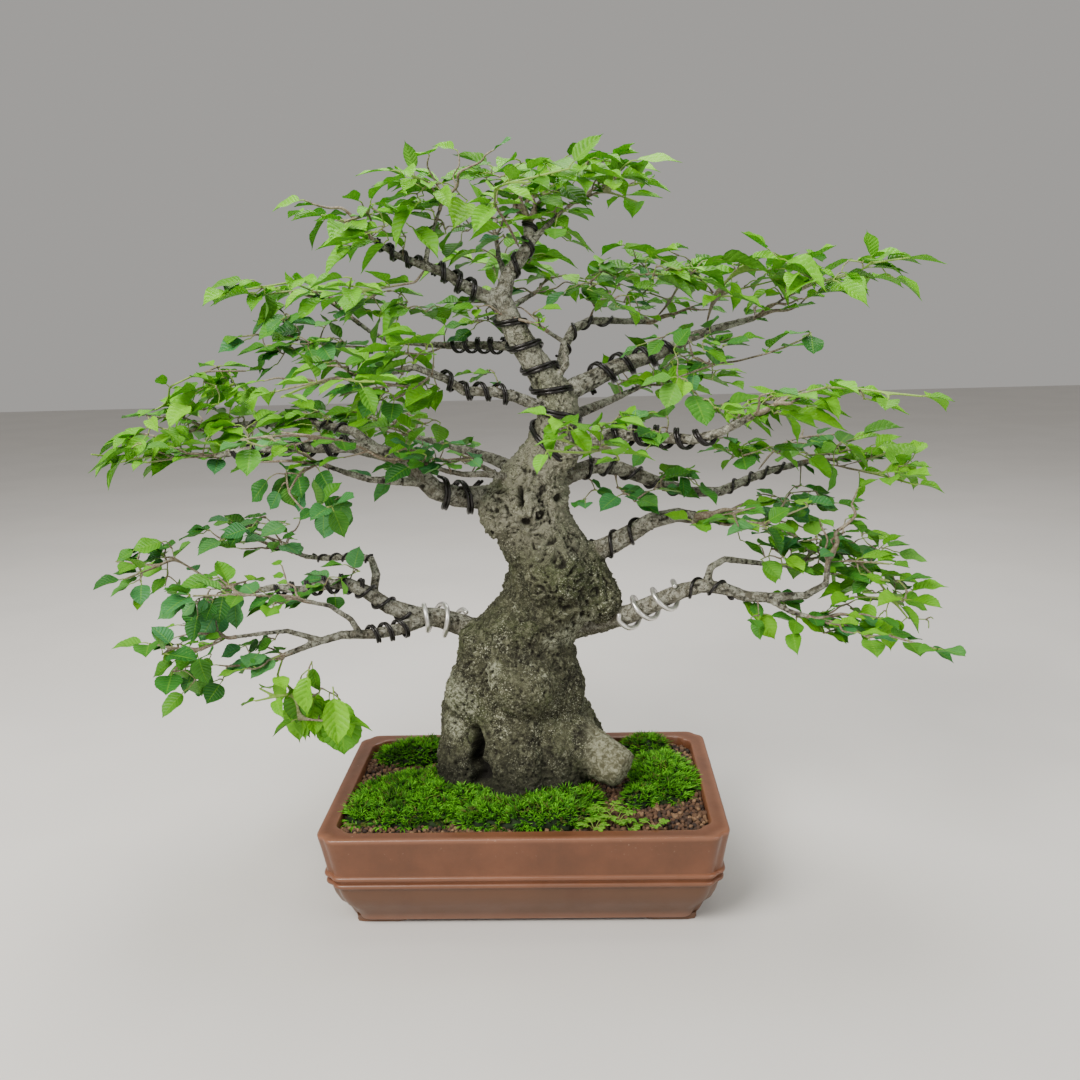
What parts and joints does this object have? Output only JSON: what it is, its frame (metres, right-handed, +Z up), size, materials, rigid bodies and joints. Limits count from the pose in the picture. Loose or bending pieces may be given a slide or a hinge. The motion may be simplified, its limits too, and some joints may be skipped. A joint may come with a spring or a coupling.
{
  "type": "bonsai tree in a pot",
  "caption": "Deciduous bonsai with a stout burled trunk, wired spreading branches and light leafy sprays, in a rectangular unglazed clay pot with moss on the soil.",
  "frame": {"origin": "centre of the pot's footprint on the standing surface", "axes": "+X along the pot's long side, +Y away from the tree's front, +Z up"},
  "size_m": [0.8121, 0.4071, 0.7473],
  "materials": {
    "clay": "unglazed red-brown stoneware with a dull sheen",
    "soil": "loose fired granules",
    "bark": "rough pitted bark with pale lichen",
    "leaf_young": "thin living leaf, bright yellow-green, satin",
    "leaf_mature": "thin living leaf, darker blue-green, satin",
    "moss": "dense short moss",
    "wire_dark": "dark anodised training wire",
    "wire_bare": "dull bare training wire",
    "screen": "drainage mesh"
  },
  "bodies": {
    "root": {"drain_screen_left": "screen", "drain_screen_right": "screen", "moss_back_left": "moss", "moss_front_left": "moss", "moss_front_middle": "moss", "moss_right": "moss", "pot": "clay", "soil": "soil", "spray_apex_back": "leaf_young", "spray_apex_front": "leaf_young", "spray_apex_left": "leaf_young", "spray_apex_right": "leaf_young", "spray_apex_top": "leaf_young", "spray_back_high": "leaf_young", "spray_back_left": "leaf_mature", "spray_back_low": "leaf_mature", "spray_back_right": "leaf_young", "spray_bottom_right_low": "leaf_mature", "spray_bottom_right_tip": "leaf_young", "spray_bottom_right_up": "leaf_mature", "spray_crown_left_low": "leaf_young", "spray_crown_left_tip": "leaf_young", "spray_left_front": "leaf_mature", "spray_left_hang": "leaf_mature", "spray_left_small": "leaf_mature", "spray_left_tip": "leaf_young", "spray_left_tip_up": "leaf_young", "spray_low_left_front": "leaf_mature", "spray_low_left_hang": "leaf_young", "spray_low_left_mid": "leaf_mature", "spray_low_left_tip": "leaf_mature", "spray_low_left_up": "leaf_mature", "spray_low_right_tip": "leaf_young", "spray_low_right_up": "leaf_mature", "spray_mid_right_in": "leaf_young", "spray_mid_right_tip": "leaf_young", "spray_stub_spray": "leaf_mature", "spray_upper_left_front": "leaf_young", "spray_upper_left_in": "leaf_mature", "spray_upper_left_low": "leaf_mature", "spray_upper_left_mid": "leaf_young", "spray_upper_left_tip": "leaf_young", "spray_upper_right_back": "leaf_young", "spray_upper_right_low": "leaf_mature", "spray_upper_right_tip": "leaf_young", "spray_upper_right_up": "leaf_young", "sprig_front": "leaf_young", "trunk_and_branches": "bark", "wire_crown_left": "wire_dark", "wire_crown_left_tip": "wire_dark", "wire_low_left_bare": "wire_bare", "wire_low_left_dark": "wire_dark", "wire_low_left_front": "wire_dark", "wire_low_right_bare": "wire_bare", "wire_mid_left": "wire_dark", "wire_mid_left_tip": "wire_dark", "wire_mid_right_front": "wire_dark", "wire_upper_left": "wire_dark", "wire_upper_left_back": "wire_dark", "wire_upper_right": "wire_dark"}
  },
  "joints": []
}
